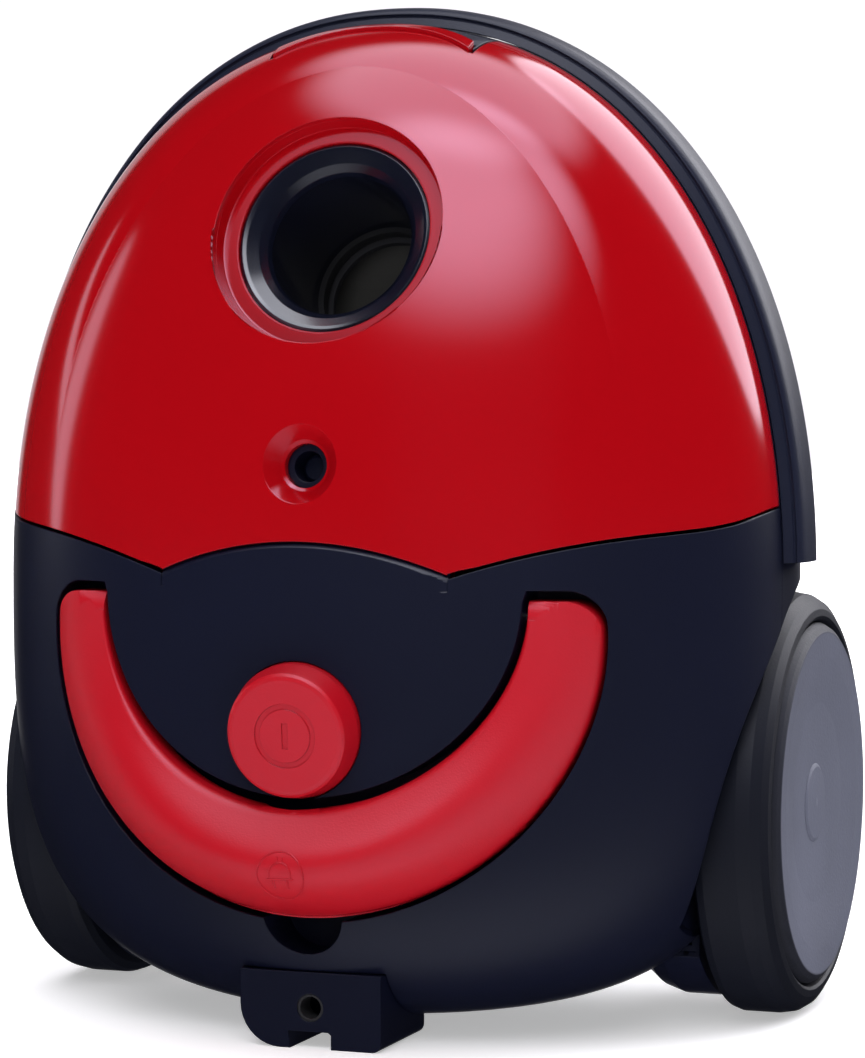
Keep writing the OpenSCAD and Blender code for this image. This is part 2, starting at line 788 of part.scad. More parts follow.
module tyre() {
  r = wheel_r;
  w0 = 112.5;
  w1 = wheel_face_x - 2;
  color("#17181d") turned([
    [61.6, w0 + 2], [64, w0], [r - 3.4, w0], [r - 0.9, w0 + 1.4], [r, w0 + 4], [r, w1 - 10], [r - 0.8, w1 - 5.4],
    [r - 2.8, w1 - 2.2], [r - 5.8, w1 - 0.4], [r - 8.2, w1], [r - 9.2, w1 - 0.6], [61.6, w1 - 3.4]]);
}

module wheel_disc() {
  x1 = wheel_face_x;
  color("#4c4f5a") turned([
    [axle_r + 0.05, 114], [12, 114], [12, 126], [56, 126], [56, 116], [61.6, 116], [61.6, x1 - 3.4],
    [60.2, x1 - 1.2], [58.4, x1], [50, x1 - 0.6], [34, x1 - 2.4], [13.4, x1 - 3.4], [13.4, x1 - 6.2],
    [axle_r + 0.05, x1 - 6.2]]);
}

module wheel_left() { wheel_at_left() wheel_disc(); }
module wheel_right() { wheel_at_right() wheel_disc(); }
module tyre_left() { wheel_at_left() tyre(); }
module tyre_right() { wheel_at_right() tyre(); }

module wheel_axles() {
  color("silver") both_sides() wheel_at_right() turned([
    [0, 97], [9, 97], [9, 100], [axle_r + 0.9, 100], [axle_r + 0.9, 110.6], [axle_r, 110.6],
    [axle_r, wheel_face_x - 6.4], [0, wheel_face_x - 6.4]]);
}

module hub_cap() {
  x1 = wheel_face_x;
  color("#4c4f5a") turned([[0, x1 - 5.2], [13.4, x1 - 5.2], [13.4, x1 - 3.3], [12.2, x1 - 2.7], [0, x1 - 2.3]]);
}
module cap_left() { wheel_at_left() hub_cap(); }
module cap_right() { wheel_at_right() hub_cap(); }

// ---- caster ----
module caster_mount() {
  color("#2a2c33") at_caster() turned([
    [4.05, 56], [18, 56], [18, 66.2], [21.4, 66.2], [21.4, 68.4], [4.05, 68.4]]);
}

module caster_fork() {
  trail = 12;
  hub_y = axle_y + wheel_r - caster_r;
  color("#3a3c44") difference() {
    union() {
      at_caster() cylinder(h = 69.5, r = 4, $fn = 64);
      at_caster() translate([0, 0, 69]) cylinder(h = 4, r = 13, $fn = 64);
      both_sides() hull() {
        box([9, 69, caster_z - 10], [12, 73, caster_z + 10]);
        translate([0, hub_y, caster_z - trail]) x_cyl(6, 9, 12, 32);
      }
      box([-12, 69, caster_z - 10], [12, 73, caster_z + 10]);
    }
    at_caster() translate([0, 0, -1]) cylinder(h = 54, r = 10, $fn = 32);
    translate([0, hub_y, caster_z - trail]) x_cyl(2.5, -20, 20, 48);
  }
}

module caster_wheel() {
  hub_y = axle_y + wheel_r - caster_r;
  color("#17181d") translate([0, hub_y, caster_z - 12]) rotate([0, 90, 0])
    turned([[2.55, -7.5], [8, -7.5], [9, -6.5], [caster_r - 1.5, -6.5], [caster_r, -5], [caster_r, 5],
      [caster_r - 1.5, 6.5], [9, 6.5], [8, 7.5], [2.55, 7.5]]);
}

module caster_axle() {
  hub_y = axle_y + wheel_r - caster_r;
  color("silver") translate([0, hub_y, caster_z - 12]) x_cyl(2.5, -13, 13, 48);
}

module case_screws() {
  color("silver") at_screws() {
    y_cyl(1.9, -30, -2.9, 32);
    y_cyl(3.6, -2.95, -0.5, 32);
  }
}

rear_cover();
base_pan();
bumper_rim();
dust_cover();
cover_seal();
hinge_pins();
hose_inlet();
inlet_seal();
indicator_housing();
indicator_slider();
indicator_spring();
latch_tab();
latch_spring();
latch_pin();
carry_handle();
handle_pins();
power_button();
button_spring();
power_switch();
control_board();
parking_bracket();
cord_outlet();
bulkhead();
motor_filter();
filter_frame();
motor_housing();
fan_housing();
motor_rotor();
fan_impeller();
motor_bearings();
motor_mounts();
exhaust_grille();
exhaust_filter();
reel_drum();
reel_frame();
reel_spring();
brake_lever();
brake_pin();
wheel_left();
wheel_right();
tyre_left();
tyre_right();
wheel_axles();
cap_left();
cap_right();
caster_mount();
caster_fork();
caster_wheel();
caster_axle();
dust_bag();
bag_collar();
bag_holder();
case_screws();
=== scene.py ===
import json
import math

import bmesh
import bpy
from mathutils import Matrix, Vector


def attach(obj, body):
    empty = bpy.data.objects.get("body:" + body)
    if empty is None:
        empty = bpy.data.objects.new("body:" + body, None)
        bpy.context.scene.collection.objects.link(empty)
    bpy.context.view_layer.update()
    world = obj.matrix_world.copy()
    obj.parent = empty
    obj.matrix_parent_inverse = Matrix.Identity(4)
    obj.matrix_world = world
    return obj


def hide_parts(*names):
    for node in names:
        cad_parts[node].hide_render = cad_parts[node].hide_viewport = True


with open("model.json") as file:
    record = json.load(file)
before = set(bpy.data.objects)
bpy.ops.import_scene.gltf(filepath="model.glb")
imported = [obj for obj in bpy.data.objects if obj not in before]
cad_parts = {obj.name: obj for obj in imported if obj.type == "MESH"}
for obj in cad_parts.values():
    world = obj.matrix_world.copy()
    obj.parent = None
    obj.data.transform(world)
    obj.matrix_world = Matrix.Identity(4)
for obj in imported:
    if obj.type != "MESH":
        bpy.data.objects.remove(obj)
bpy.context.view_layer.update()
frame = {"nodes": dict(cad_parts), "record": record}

# ---------------------------------------------------------------- shape of the body, in millimetres
HALF_W, TOP, BOTTOM, FRONT, BACK, WALL = 137.0, 336.0, 5.0, 88.2, 84.0, 2.8
SPLIT, WIDE, CROWN = -9.0, 150.0, 130.0
TIP, PEAK, GAP = 49.5, 165.2, 1.2
PROUD = 0.12
HINGE_Y, HINGE_Z = -84.5, 151.0
SWING_Y, SWING_Z = -74.5, 141.0


def se(t, n):
    return max(0.0, 1.0 - abs(t) ** n) ** (1.0 / n)


def up(z, mid):
    return (z - mid) / (TOP - mid)


def down(z, mid):
    return (mid - z) / (mid - BOTTOM)


def half_w(z):
    return HALF_W * (se(up(z, WIDE), 2.15) if z > WIDE else se(down(z, WIDE), 3.2))


def front_d(z):
    return FRONT * (se(up(z, CROWN), 2) if z > CROWN else se(down(z, CROWN), 4))


def back_d(z):
    return BACK * (se(up(z, WIDE), 3) if z > WIDE else se(down(z, WIDE), 5))


def front_y(x, z):
    return SPLIT - front_d(z) * se(x / max(half_w(z), 1e-6), 2)


def sgn_pow(v, p):
    return math.copysign(abs(v) ** p, v)


# ---------------------------------------------------------------- mesh tools
def new_object(name, verts, faces):
    me = bpy.data.meshes.new(name)
    me.from_pydata([tuple(v) for v in verts], [], faces)
    bm = bmesh.new()
    bm.from_mesh(me)
    inside_out = bm.calc_volume(signed=True) < 0
    bm.free()
    if inside_out:
        me.flip_normals()
    me.update()
    o = bpy.data.objects.new(name, me)
    bpy.context.collection.objects.link(o)
    return o


def loft(rings, name="t"):
    n, m = len(rings[0]), len(rings)
    faces = [tuple(range(n - 1, -1, -1)), tuple((m - 1) * n + j for j in range(n))]
    for i in range(m - 1):
        for j in range(n):
            a, b = i * n + j, i * n + (j + 1) % n
            faces.append((a, b, b + n, a + n))
    return new_object(name, [p for r in rings for p in r], faces)


def half_body(side, inset=0.0, reach=0.0, steps=150, levels=70):
    depth = FRONT if side < 0 else BACK
    n = 2 if side < 0 else 3.2
    mid = 140.0
    kx, ky = 1 - inset / HALF_W, 1 - inset / depth
    rings = []
    for i in range(-levels, levels + 1):
        s = math.sin(math.radians(89.2 * i / levels))
        z_out = mid + s * ((TOP - mid) if i > 0 else (mid - BOTTOM))
        z = mid + s * ((TOP - mid - inset) if i > 0 else (mid - BOTTOM - inset))
        d = (front_d(z_out) if side < 0 else back_d(z_out)) * ky
        a = half_w(z_out) * kx
        ring = []
        for k in range(steps + 1):
            u = math.pi * k / steps
            c, q = math.cos(u), math.sin(u)
            ring.append((-side * a * sgn_pow(c, 2 / n), SPLIT + side * d * abs(q) ** (2 / n), z))
        if reach > 0:
            ring += [(side * a, SPLIT - side * reach, z), (-side * a, SPLIT - side * reach, z)]
        rings.append(ring)
    return loft(rings)


def box(lo, hi):
    x0, y0, z0 = lo
    x1, y1, z1 = hi
    return loft([[(x0, y0, z), (x1, y0, z), (x1, y1, z), (x0, y1, z)] for z in (z0, z1)])


def prism_y(poly, y0, y1):
    """Polygon of (x, z) points, anticlockwise seen from -Y, extruded from y0 to y1."""
    return loft([[(x, y, z) for x, z in poly] for y in (y1, y0)])


def prism_z(poly, z0, z1):
    return loft([[(x, y, z) for x, y in poly] for z in (z0, z1)])


def cone(r0, r1, z0, z1, n=96):
    ang = [2 * math.pi * k / n for k in range(n)]
    return loft([[(r * math.cos(a), r * math.sin(a), z) for a in ang] for r, z in ((r0, z0), (r1, z1))])


def cyl(r, z0, z1, n=96):
    return cone(r, r, z0, z1, n)


def spun(profile, n=128):
    """Closed profile of (r, z) points off the axis, turned round Z."""
    m = len(profile)
    verts = [(r * math.cos(2 * math.pi * k / n), r * math.sin(2 * math.pi * k / n), z)
             for k in range(n) for r, z in profile]
    faces = []
    for k in range(n):
        for j in range(m):
            a, b = k * m + j, k * m + (j + 1) % m
            c, d = ((k + 1) % n) * m + (j + 1) % m, ((k + 1) % n) * m + j
            faces.append((a, d, c, b))
    return new_object("t", verts, faces)


def spun_solid(profile, n=96):
    """Profile of (r, z) points that starts and ends on the axis, turned round Z."""
    angles = [2 * math.pi * k / n for k in range(n)]
    return loft([[(max(r, 0.001) * math.cos(a), max(r, 0.001) * math.sin(a), z) for a in angles]
                 for r, z in profile])


def put(o, *ms):
    m = Matrix.Identity(4)
    for q in ms:
        m = m @ q
    o.data.transform(m)
    if m.determinant() < 0:
        o.data.flip_normals()
    return o


def T(x, y, z):
    return Matrix.Translation((x, y, z))


def R(deg, axis):
    return Matrix.Rotation(math.radians(deg), 4, axis)


MX = Matrix.Scale(-1, 4, (1, 0, 0))
INLET = T(0, -71.6, 266.5) @ R(69.7, "X")
INDICATOR = T(0, front_y(0, 190), 190) @ R(82.5, "X")
BUTTON = T(0, -106, 103.8) @ R(95.9, "X")
HINGE = T(0, HINGE_Y, HINGE_Z)
SWING = T(0, SWING_Y, SWING_Z)
AXLE = T(0, 38.2, 72)
CASTER = T(0, 0, 282) @ R(-90, "X")


def x_cyl(r, x0, x1, n=64):
    return put(cyl(r, x0, x1, n), R(90, "Y"))


def y_cyl(r, y0, y1, n=64):
    return put(cyl(r, 0, y1 - y0, n), T(0, y1, 0), R(90, "X"))


def both(make):
    return [make(), put(make(), MX)]


def triangles(o):
    bm = bmesh.new()
    bm.from_mesh(o.data)
    bmesh.ops.triangulate(bm, faces=[f for f in bm.faces if len(f.verts) > 4])
    bm.to_mesh(o.data)
    bm.free()


def combine(a, parts, operation):
    for b in parts:
        triangles(a)
        triangles(b)
        mod = a.modifiers.new("cut", "BOOLEAN")
        mod.operation = operation
        mod.solver = "MANIFOLD"
        mod.object = b
        bpy.context.view_layer.update()
        me = bpy.data.meshes.new_from_object(a.evaluated_get(bpy.context.evaluated_depsgraph_get()))
        a.modifiers.clear()
        old = a.data
        a.data = me
        bpy.data.meshes.remove(old)
        bpy.data.objects.remove(b)
    return a


def cut(a, *b):
    return combine(a, b, "DIFFERENCE")


def join(a, *b):
    return combine(a, b, "UNION")


def meet(a, *b):
    return combine(a, b, "INTERSECT")


def front_field(p):
    return front_base(*p)


def back_field(p):
    x, y, z = p
    z = min(max(z, BOTTOM + 0.01), TOP - 0.01)
    return abs(x / max(half_w(z), 1e-3)) ** 3.2 + (max(y - SPLIT, 0) / max(back_d(z), 1e-3)) ** 3.2 - 1


def smoothstep(t):
    t = min(max(t, 0.0), 1.0)
    return t * t * (3 - 2 * t)


def panel(x, z):
    return (abs(x / 99.0) ** 1.9 + abs((z - 190) / 131.5) ** 1.9) ** (1 / 1.9)


def sink(x, z):
    """Depth of the soft panel round the socket: level inside, easing out past a crisp crease."""
    if z < 185:
        return 0.0
    t = min(max((panel(x, z) - 1) * 100 / 11, 0.0), 1.0)
    return 1.5 * smoothstep((z - 190) / 75) * (1 - t) ** 2


def steepest(f, p, h=0.02):
    return Vector([(f(*(p + d)) - f(*(p - d))) / (2 * h) for d in
                   (Vector((h, 0, 0)), Vector((0, h, 0)), Vector((0, 0, h)))])


def finish_shell(o, name, field=None, creased=False, sharp=32):
    """Metres, smooth shading, and the exact surface's normals on the moulded skin."""
    me = o.data
    o.name = me.name = name
    if creased:
        bm = bmesh.new()
        bm.from_mesh(me)
        near = {v for v in bm.verts if v.co.z > 192 and abs(panel(v.co.x, v.co.z) - 1) < 0.03
                and abs(field(v.co)) < 0.006}
        crease = [e for e in bm.edges if e.verts[0] in near and e.verts[1] in near]
        bmesh.ops.subdivide_edges(bm, edges=crease, cuts=3, use_grid_fill=True)
        bmesh.ops.triangulate(bm, faces=[f for f in bm.faces if len(f.verts) > 4])
        bm.to_mesh(me)
        bm.free()
    exact = {}
    if field:
        for v in me.vertices:
            p = v.co.copy()
            if abs(field(p)) < 0.008:
                g = steepest(lambda x, y, z: field((x, y, z)), p)
                if g.length > 1e-12:
                    exact[v.index] = g.normalized()
                    if creased and p.z > 186:
                        n = exact[v.index]
                        slope = steepest(lambda x, y, z: sink(x, z), p)
                        v.co = p - n * sink(p.x, p.z)
                        exact[v.index] = (n + slope - n * slope.dot(n)).normalized()
        me.update()
    me.polygons.foreach_set("use_smooth", [True] * len(me.polygons))
    me.set_sharp_from_angle(angle=math.radians(sharp))
    mod = o.modifiers.new("w", "WEIGHTED_NORMAL")
    mod.keep_sharp = True
    mod.weight = 100
    bpy.context.view_layer.update()
    me = bpy.data.meshes.new_from_object(o.evaluated_get(bpy.context.evaluated_depsgraph_get()))
    o.modifiers.clear()
    o.data = me
    me.name = name
    if exact:
        loops = [c.vector.copy() for c in me.corner_normals]
        for f in me.polygons:
            for li in f.loop_indices:
                if loops[li].dot(f.normal) < 0.985:
                    loops[li] = f.normal.copy()
        for f in me.polygons:
            if all(i in exact for i in f.vertices):
                for li in f.loop_indices:
                    n = exact[me.loops[li].vertex_index]
                    if n.dot(f.normal) > 0.9:
                        loops[li] = n
        me.normals_split_custom_set([tuple(v) for v in loops])
    me.transform(Matrix.Scale(0.001, 4))
    return o


def front_base(x, y, z):
    z = min(max(z, BOTTOM + 0.01), TOP - 0.01)
    return (x / max(half_w(z), 1e-3)) ** 2 + ((y - SPLIT) / max(front_d(z), 1e-3)) ** 2 - 1


def plain(o, name, sharp=32):
    return finish_shell(o, name, None, False, sharp)


# ---------------------------------------------------------------- shared cutters
def side_seam(x):
    u = (abs(x) - TIP) / (HALF_W - TIP)
    return 155 + 14.5 * (1 - (1 - u) ** 2) + 7 * max(u, 0) ** 14


def arc_seam(x):
    return PEAK - (PEAK - 155) * (x / TIP) ** 2


def seam_barrel(shrink):
    prof = [(0.001, -TIP)]
    for i in range(-30, 31):
        x = TIP * i / 30
        r = math.hypot(front_y(x, arc_seam(x)) - HINGE_Y, arc_seam(x) - HINGE_Z) - shrink
        prof.append((r, x))
    prof.append((0.001, TIP))
    return put(spun_solid(prof, 160), HINGE, R(90, "Y"))


def above_seam(drop):
    n = 40
    xs = [TIP + (HALF_W + 5 - TIP) * i / n for i in range(n + 1)]
    rise = [(x, side_seam(min(x, HALF_W)) - drop) for x in xs]
    poly = [(-x, z) for x, z in reversed(rise)] + [(-TIP, HINGE_Z - drop), (TIP, HINGE_Z - drop)] + rise
    return prism_y(poly + [(150, 400), (-150, 400)], -150, 150)


def out_edge(a):
    return 95.2 * math.sin(math.radians(a)), 135 - 91.4 * math.cos(math.radians(a))


def in_edge(a):
    return 73.5 * math.sin(math.radians(a)), 147 - 67.2 * math.cos(math.radians(a))


def corner(a, r=11.2):
    return 84 + r * math.cos(math.radians(a)), 136 + (r - 0.2) * math.sin(math.radians(a))


def grown(poly, d):
    out, n = [], len(poly)
    for i in range(n):
        x0, z0 = poly[i - 1]
        x1, z1 = poly[(i + 1) % n]
        dx, dz = x1 - x0, z1 - z0
        q = math.hypot(dx, dz) or 1
        out.append((poly[i][0] + d * dz / q, poly[i][1] - d * dx / q))
    return out


def handle_outline():
    pts = [out_edge(a) for a in range(-90, 91, 2)]
    pts += [corner(a) for a in range(8, 83, 8)]
    pts += [in_edge(a) for a in range(90, -91, -2)]
    pts += [(-x, z) for x, z in [corner(a) for a in range(80, 7, -8)]]
    return pts


def handle_prism(grow, rise=0.0):
    return prism_y([(x, z + rise) for x, z in grown(handle_outline(), grow)], -130, -30)


def groove_prism():
    pts = grown(handle_outline(), 1.5)
    raised = [(x, z + 1.8) if i >= 91 else (x, z) for i, (x, z) in enumerate(pts)]
    return cut(prism_y(raised, -130, -30), half_body(-1, 15, 2, 149, 69))


def at_screws(make):
    out = []
    for x, z in ((40, 15), (95, 144.3)):
        for s in (-1, 1):
            out.append(put(make(), T(s * x, 0, z)))
    return out


def lip_y(x):
    return -15.8 - 9 * (x / 35) ** 2


def lip_band(front, back, half_x, z0, z1):
    """Band along the latch's curved lip; a back of more than 50 reaches past the split plane."""
    xs = [half_x * i / 24 for i in range(-24, 25)]
    poly = [(x, lip_y(x) + front) for x in xs]
    poly += [(x, SPLIT + 3 if back > 50 else lip_y(x) + back) for x in reversed(xs)]
    return prism_z(poly, z0, z1)


def notch(poly, z0, z1):
    return both(lambda: prism_z(poly, z0, z1))


def wheel_boss(thin):
    r = 67 - thin
    x1 = 109.3 - thin if thin > 0 else 111.3
    prof = [(0, 78 + thin), (r - 12, 78 + thin), (r - 2, 90), (r, 96), (r, x1), (0, x1)]
    return both(lambda: put(spun_solid(prof), AXLE, R(90, "Y")))


def well(r, x0):
    return both(lambda: put(x_cyl(r, x0, 160, 160), AXLE))


def hinge_arms():
    a = put(x_cyl(4, 44.2, 47.4), HINGE)
    a = join(a, put(box((44.2, -1.8, 0), (47.4, 1.8, 13)), HINGE, R(-50, "X")))
    return join(a, put(box((44.2, -6, 9.2), (47.4, 11, 12.5)), HINGE))


# ---------------------------------------------------------------- shells
# Profiles of (radius, height) about the socket's and the indicator's own axes
SOCKET_RECESS = [(0, -9), (38.6, -9), (40.0, -1.2), (40.2, -0.2), (41.2, 2.2), (43, 5), (43, 30), (0, 30)]
SOCKET_LEDGE = [(33.5, -9.7), (39.2, -9.7), (39.9, -4.4), (39.35, -4.4), (38.55, -8.6), (38.1, -8.92),
                (33.5, -8.92)]
WINDOW_RECESS = [(0, -6), (7.2, -6), (8.4, -5.2), (13.2, 0.2), (15.2, 2.4), (15.2, 20), (0, 20)]


def make_dust_cover():
    o = half_body(-1, 0, 0, 210, 100)
    cut(o, half_body(-1, WALL, 2), box((-200, SPLIT - 0.5, -10), (200, SPLIT + 5, 400)))
    meet(o, above_seam(0))
    extra = put(cyl(42.8, -11.8, 48.2, 160), INLET)
    join(extra, put(cone(10, 16, -8.6, 3.4), INDICATOR), box((-15, -52, 308.5), (15, SPLIT - 3, 311.2)))
    arms = both(hinge_arms)
    join(extra, *arms)
    meet(extra, half_body(-1, 0.02))
    join(o, extra)
    barrel = seam_barrel(0)
    cut(barrel, *both(hinge_arms))
    cut(o, barrel)
    cut(o, *both(lambda: put(x_cyl(7.6, 49.2, 62.6), HINGE)))
    cut(o, *both(lambda: put(x_cyl(1.7, 38, 49.5), HINGE)))
    cut(o, put(spun_solid(SOCKET_RECESS, 192), INLET))
    cut(o, put(cyl(33.3, -20, 0, 192), INLET))
    cut(o, put(spun_solid(WINDOW_RECESS, 128), INDICATOR))
    cut(o, put(cyl(7.2, -20, 0), INDICATOR))
    cut(o, lip_band(-5.3, 99, 35.3, 311.2, 345))
    cut(o, *notch([(34.9, -30), (36.4, -30), (40.4, SPLIT + 3), (34.9, SPLIT + 3)], 311.2, 345))
    cut(o, box((-9, -21, 300), (9, SPLIT, 320)))
    return finish_shell(o, "lid_shell", front_field, True)


def make_socket_ledge():
    """Clean ring over the socket's floor and the foot of its wall."""
    o = put(spun(SOCKET_LEDGE, 192), INLET)
    return plain(o, "socket_ledge", 40)


def dome_plate(proud, depth):
    o = half_body(-1, -proud)
    return cut(o, half_body(-1, depth, 2))


def make_latch():
    o = dome_plate(1.2, WALL)
    meet(o, lip_band(-5, 0, 35, 314, 345))
    join(o, box((-8, -20.4, 319.4), (8, -16.2, 332.5)), box((-8, -20.4, 316.6), (8, -4, 319.4)))
    return plain(o, "latch_release")


def make_rear_cover():
    """Smooth outer skin, a hair proud of the CAD shell, which stays and gives the walls and ribs."""
    o = half_body(-1, -PROUD)
    cut(o, half_body(-1, 1.2, 2), box((-200, SPLIT - 0.5, -10), (200, SPLIT + 5, 400)))
    low = box((-200, -200, 0), (200, 0, 200))
    cut(low, above_seam(GAP))
    join(low, seam_barrel(GAP))
    meet(o, low)
    cut(o, groove_prism())
    cut(o, put(y_cyl(13.7, -120, -70.4, 96), T(0, 0, 45)))
    cut(o, put(cyl(22.3, -24, 20, 128), BUTTON))
    cut(o, *well(79, 109.3))
    cut(o, box((-24.9, -120, -1), (24.9, -42, 25.4)))
    return finish_shell(o, "rear_skin", front_field)


def make_base_pan():
    o = half_body(1, -PROUD, 0, 120, 60)
    boss = wheel_boss(-PROUD)
    for b in boss:
        meet(b, box((-200, SPLIT, 0), (200, 200, 200)))
    join(o, *boss)
    cut(o, half_body(1, 1.2, 2, 120, 60), *wheel_boss(1.2))
    cut(o, *well(79, 109.3))
    cut(o, put(cyl(21.8, 40, 86), CASTER))
    cut(o, *at_screws(lambda: y_cyl(4, -3, 90, 48)))
    cut(o, box((-62, 60, 62), (62, 90, 128)))
    return finish_shell(o, "pan_skin", back_field)


def make_rim():
    prof = [(0.4, -8.6), (0.4, 14), (4.1, 16), (5.2, 14.4), (6.8, 11), (7.3, 8), (7.5, 4), (7.4, 0),
            (7.0, -3.2), (6.5, -5.0), (5.4, -6.3), (4.6, -6.7), (4.2, -6.0), (3.6, -6.0), (3.2, -7.0)]
    rings = []
    n = 220
    for i in range(n + 1):
        v = math.radians(88.5 * (2 * i / n - 1))
        c, s = abs(math.cos(v)) ** (2 / 2.15), sgn_pow(math.sin(v), 2 / 2.15)
        rings.append([((HALF_W + o) * s, y, WIDE + (TOP - WIDE + o) * c) for o, y in prof])
    return plain(loft(rings), "guard_rim", 40)


# ---------------------------------------------------------------- handle
def handle_proud(a, w):
    f = math.cos(math.radians(a)) ** 2
    v = max(w, 0.0) ** 1.3
    return (0.4 + 4.6 * f) * (1 - w) + (0.4 - 3.4 * f) * w + (2 + 13 * f) * 4 * v * (1 - v)


def make_handle():
    n, across = 150, 44
    width, edge = 20.0, 1.6
    stops = [90.0 - 180.0 * i / n for i in range(n + 1)]

    def flat(a, w, rise):
        pi, po = in_edge(a), out_edge(a)
        x = pi[0] + (po[0] - pi[0]) * w
        z = pi[1] + (po[1] - pi[1]) * w
        return x, z + rise * (1 + 2.4 * w)

    def ring(a, rise):
        pts = []
        f = math.cos(math.radians(a)) ** 2
        for j in range(across + 1):
            w = j / across
            x, z = flat(a, w, rise)
            y = front_y(x, min(z, 160))
            # Rounded edge: the skin falls back within `edge` of each side
            d = min(w, 1 - w) * width
            drop = edge * (1 - math.sqrt(max(0.0, 1 - (1 - min(d / edge, 1)) ** 2)))
            pts.append((x, y - handle_proud(a, w) + drop, z))
        for w in (1.0, 0.66, 0.33, 0.0):
            x, z = flat(a, w, rise)
            pts.append((x, front_y(x, min(z, 160)) + 12 - 10 * f, z))
        return pts

    rings = [ring(90, 5)] + [ring(a, 0) for a in stops] + [ring(-90, 5)]
    o = loft(rings)
    # The arms' ends are cut to the outline
    meet(o, handle_prism(0.0))
    # Hollow in the grip that clears the button through the whole swing
    steps, r, clear = 20, 20.4, 0.8
    prof = [(0.001, -r)]
    for i in range(-steps, steps + 1):
        x = r * math.sin(math.radians(90 * i / steps))
        reach = math.hypot(SWING_Y + 106, SWING_Z - 103.8 + math.sqrt(max(0, r ** 2 - x * x)))
        prof.append((reach + clear, x))
    prof.append((0.001, r))
    cut(o, put(spun_solid(prof, 160), SWING, R(90, "Y")))
    # Pivot holes, and the arms' ends rounded about the pivot
    cut(o, *both(lambda: put(x_cyl(2.05, 60, 86), SWING)))
    cut(o, *both(lambda: put(cut(box((60, -20, 0), (100, 0, 20)), x_cyl(8.6, 50, 110)), SWING)))
    return plain(o, "grip", 50)


def grip_point(x, z):
    """Point of the grip's skin in front of (x, z)."""
    w = 0.5
    for _ in range(12):
        a = math.degrees(math.asin(max(-1, min(1, x / (73.5 + 21.7 * w)))))
        zi, zo = in_edge(a)[1], out_edge(a)[1]
        w = (z - zi) / (zo - zi)
    return Vector((x, front_y(x, z) - handle_proud(a, w), z))


def tube(path, r, sides=8):
    """Round line along a path, with domed ends."""
    rings = []
    for i, p in enumerate(path):
        d = (path[min(i + 1, len(path) - 1)] - path[max(i - 1, 0)]).normalized()
        u = d.cross(Vector((0, 1, 0))).normalized()
        v = d.cross(u)
        q = r * (0.5 if i in (0, len(path) - 1) else 1.0)
        rings.append([p + (u * math.cos(t) + v * math.sin(t)) * q
                      for t in [2 * math.pi * k / sides for k in range(sides)]])
    return loft(rings)


def make_plug_mark():
    """Raised ring with a plug in it on the middle of the grip."""
    cz = 59.6

    def path(points):
        out = []
        for (x0, z0), (x1, z1) in zip(points, points[1:]):
            n = max(2, int(math.hypot(x1 - x0, z1 - z0) / 0.4))
            out += [(x0 + (x1 - x0) * k / n, z0 + (z1 - z0) * k / n) for k in range(n)]
        return [grip_point(x, cz + z) for x, z in out + [points[-1]]]

    def arc(r, a0, a1, z=0.0, n=40):
        ts = [math.radians(a0 + (a1 - a0) * k / n) for k in range(n + 1)]
        return [(r * math.cos(t), z + r * math.sin(t)) for t in ts]

    parts = [tube(path(arc(7.9, 0, 360, n=90)), 0.34)]
    parts.append(tube(path([(-3.7, -0.6)] + arc(3.7, 180, 0, 0.8) + [(3.7, -0.6)]), 0.3))
    parts.append(tube(path([(-4.6, -0.9), (4.6, -0.9)]), 0.36))
    for s in (-1, 1):
        parts.append(tube(path([(s * 2.3, -1.2), (s * 2.3, -4.2)]), 0.42))
        parts.append(tube(path([(s * 0.9, 4.7), (s * 0.9, 6.4)]), 0.26))
    verts, faces = [], []
    for o in parts:
        k = len(verts)
        verts += [v.co.copy() for v in o.data.vertices]
        faces += [tuple(k + i for i in f.vertices) for f in o.data.polygons]
        bpy.data.objects.remove(o)
    return plain(new_object("t", verts, faces), "plug_mark", 80)


# ---------------------------------------------------------------- materials
def nodes_of(name):
    m = bpy.data.materials.new(name)
    m.use_nodes = True
    nt = m.node_tree
    return m, nt, nt.nodes["Principled BSDF"]


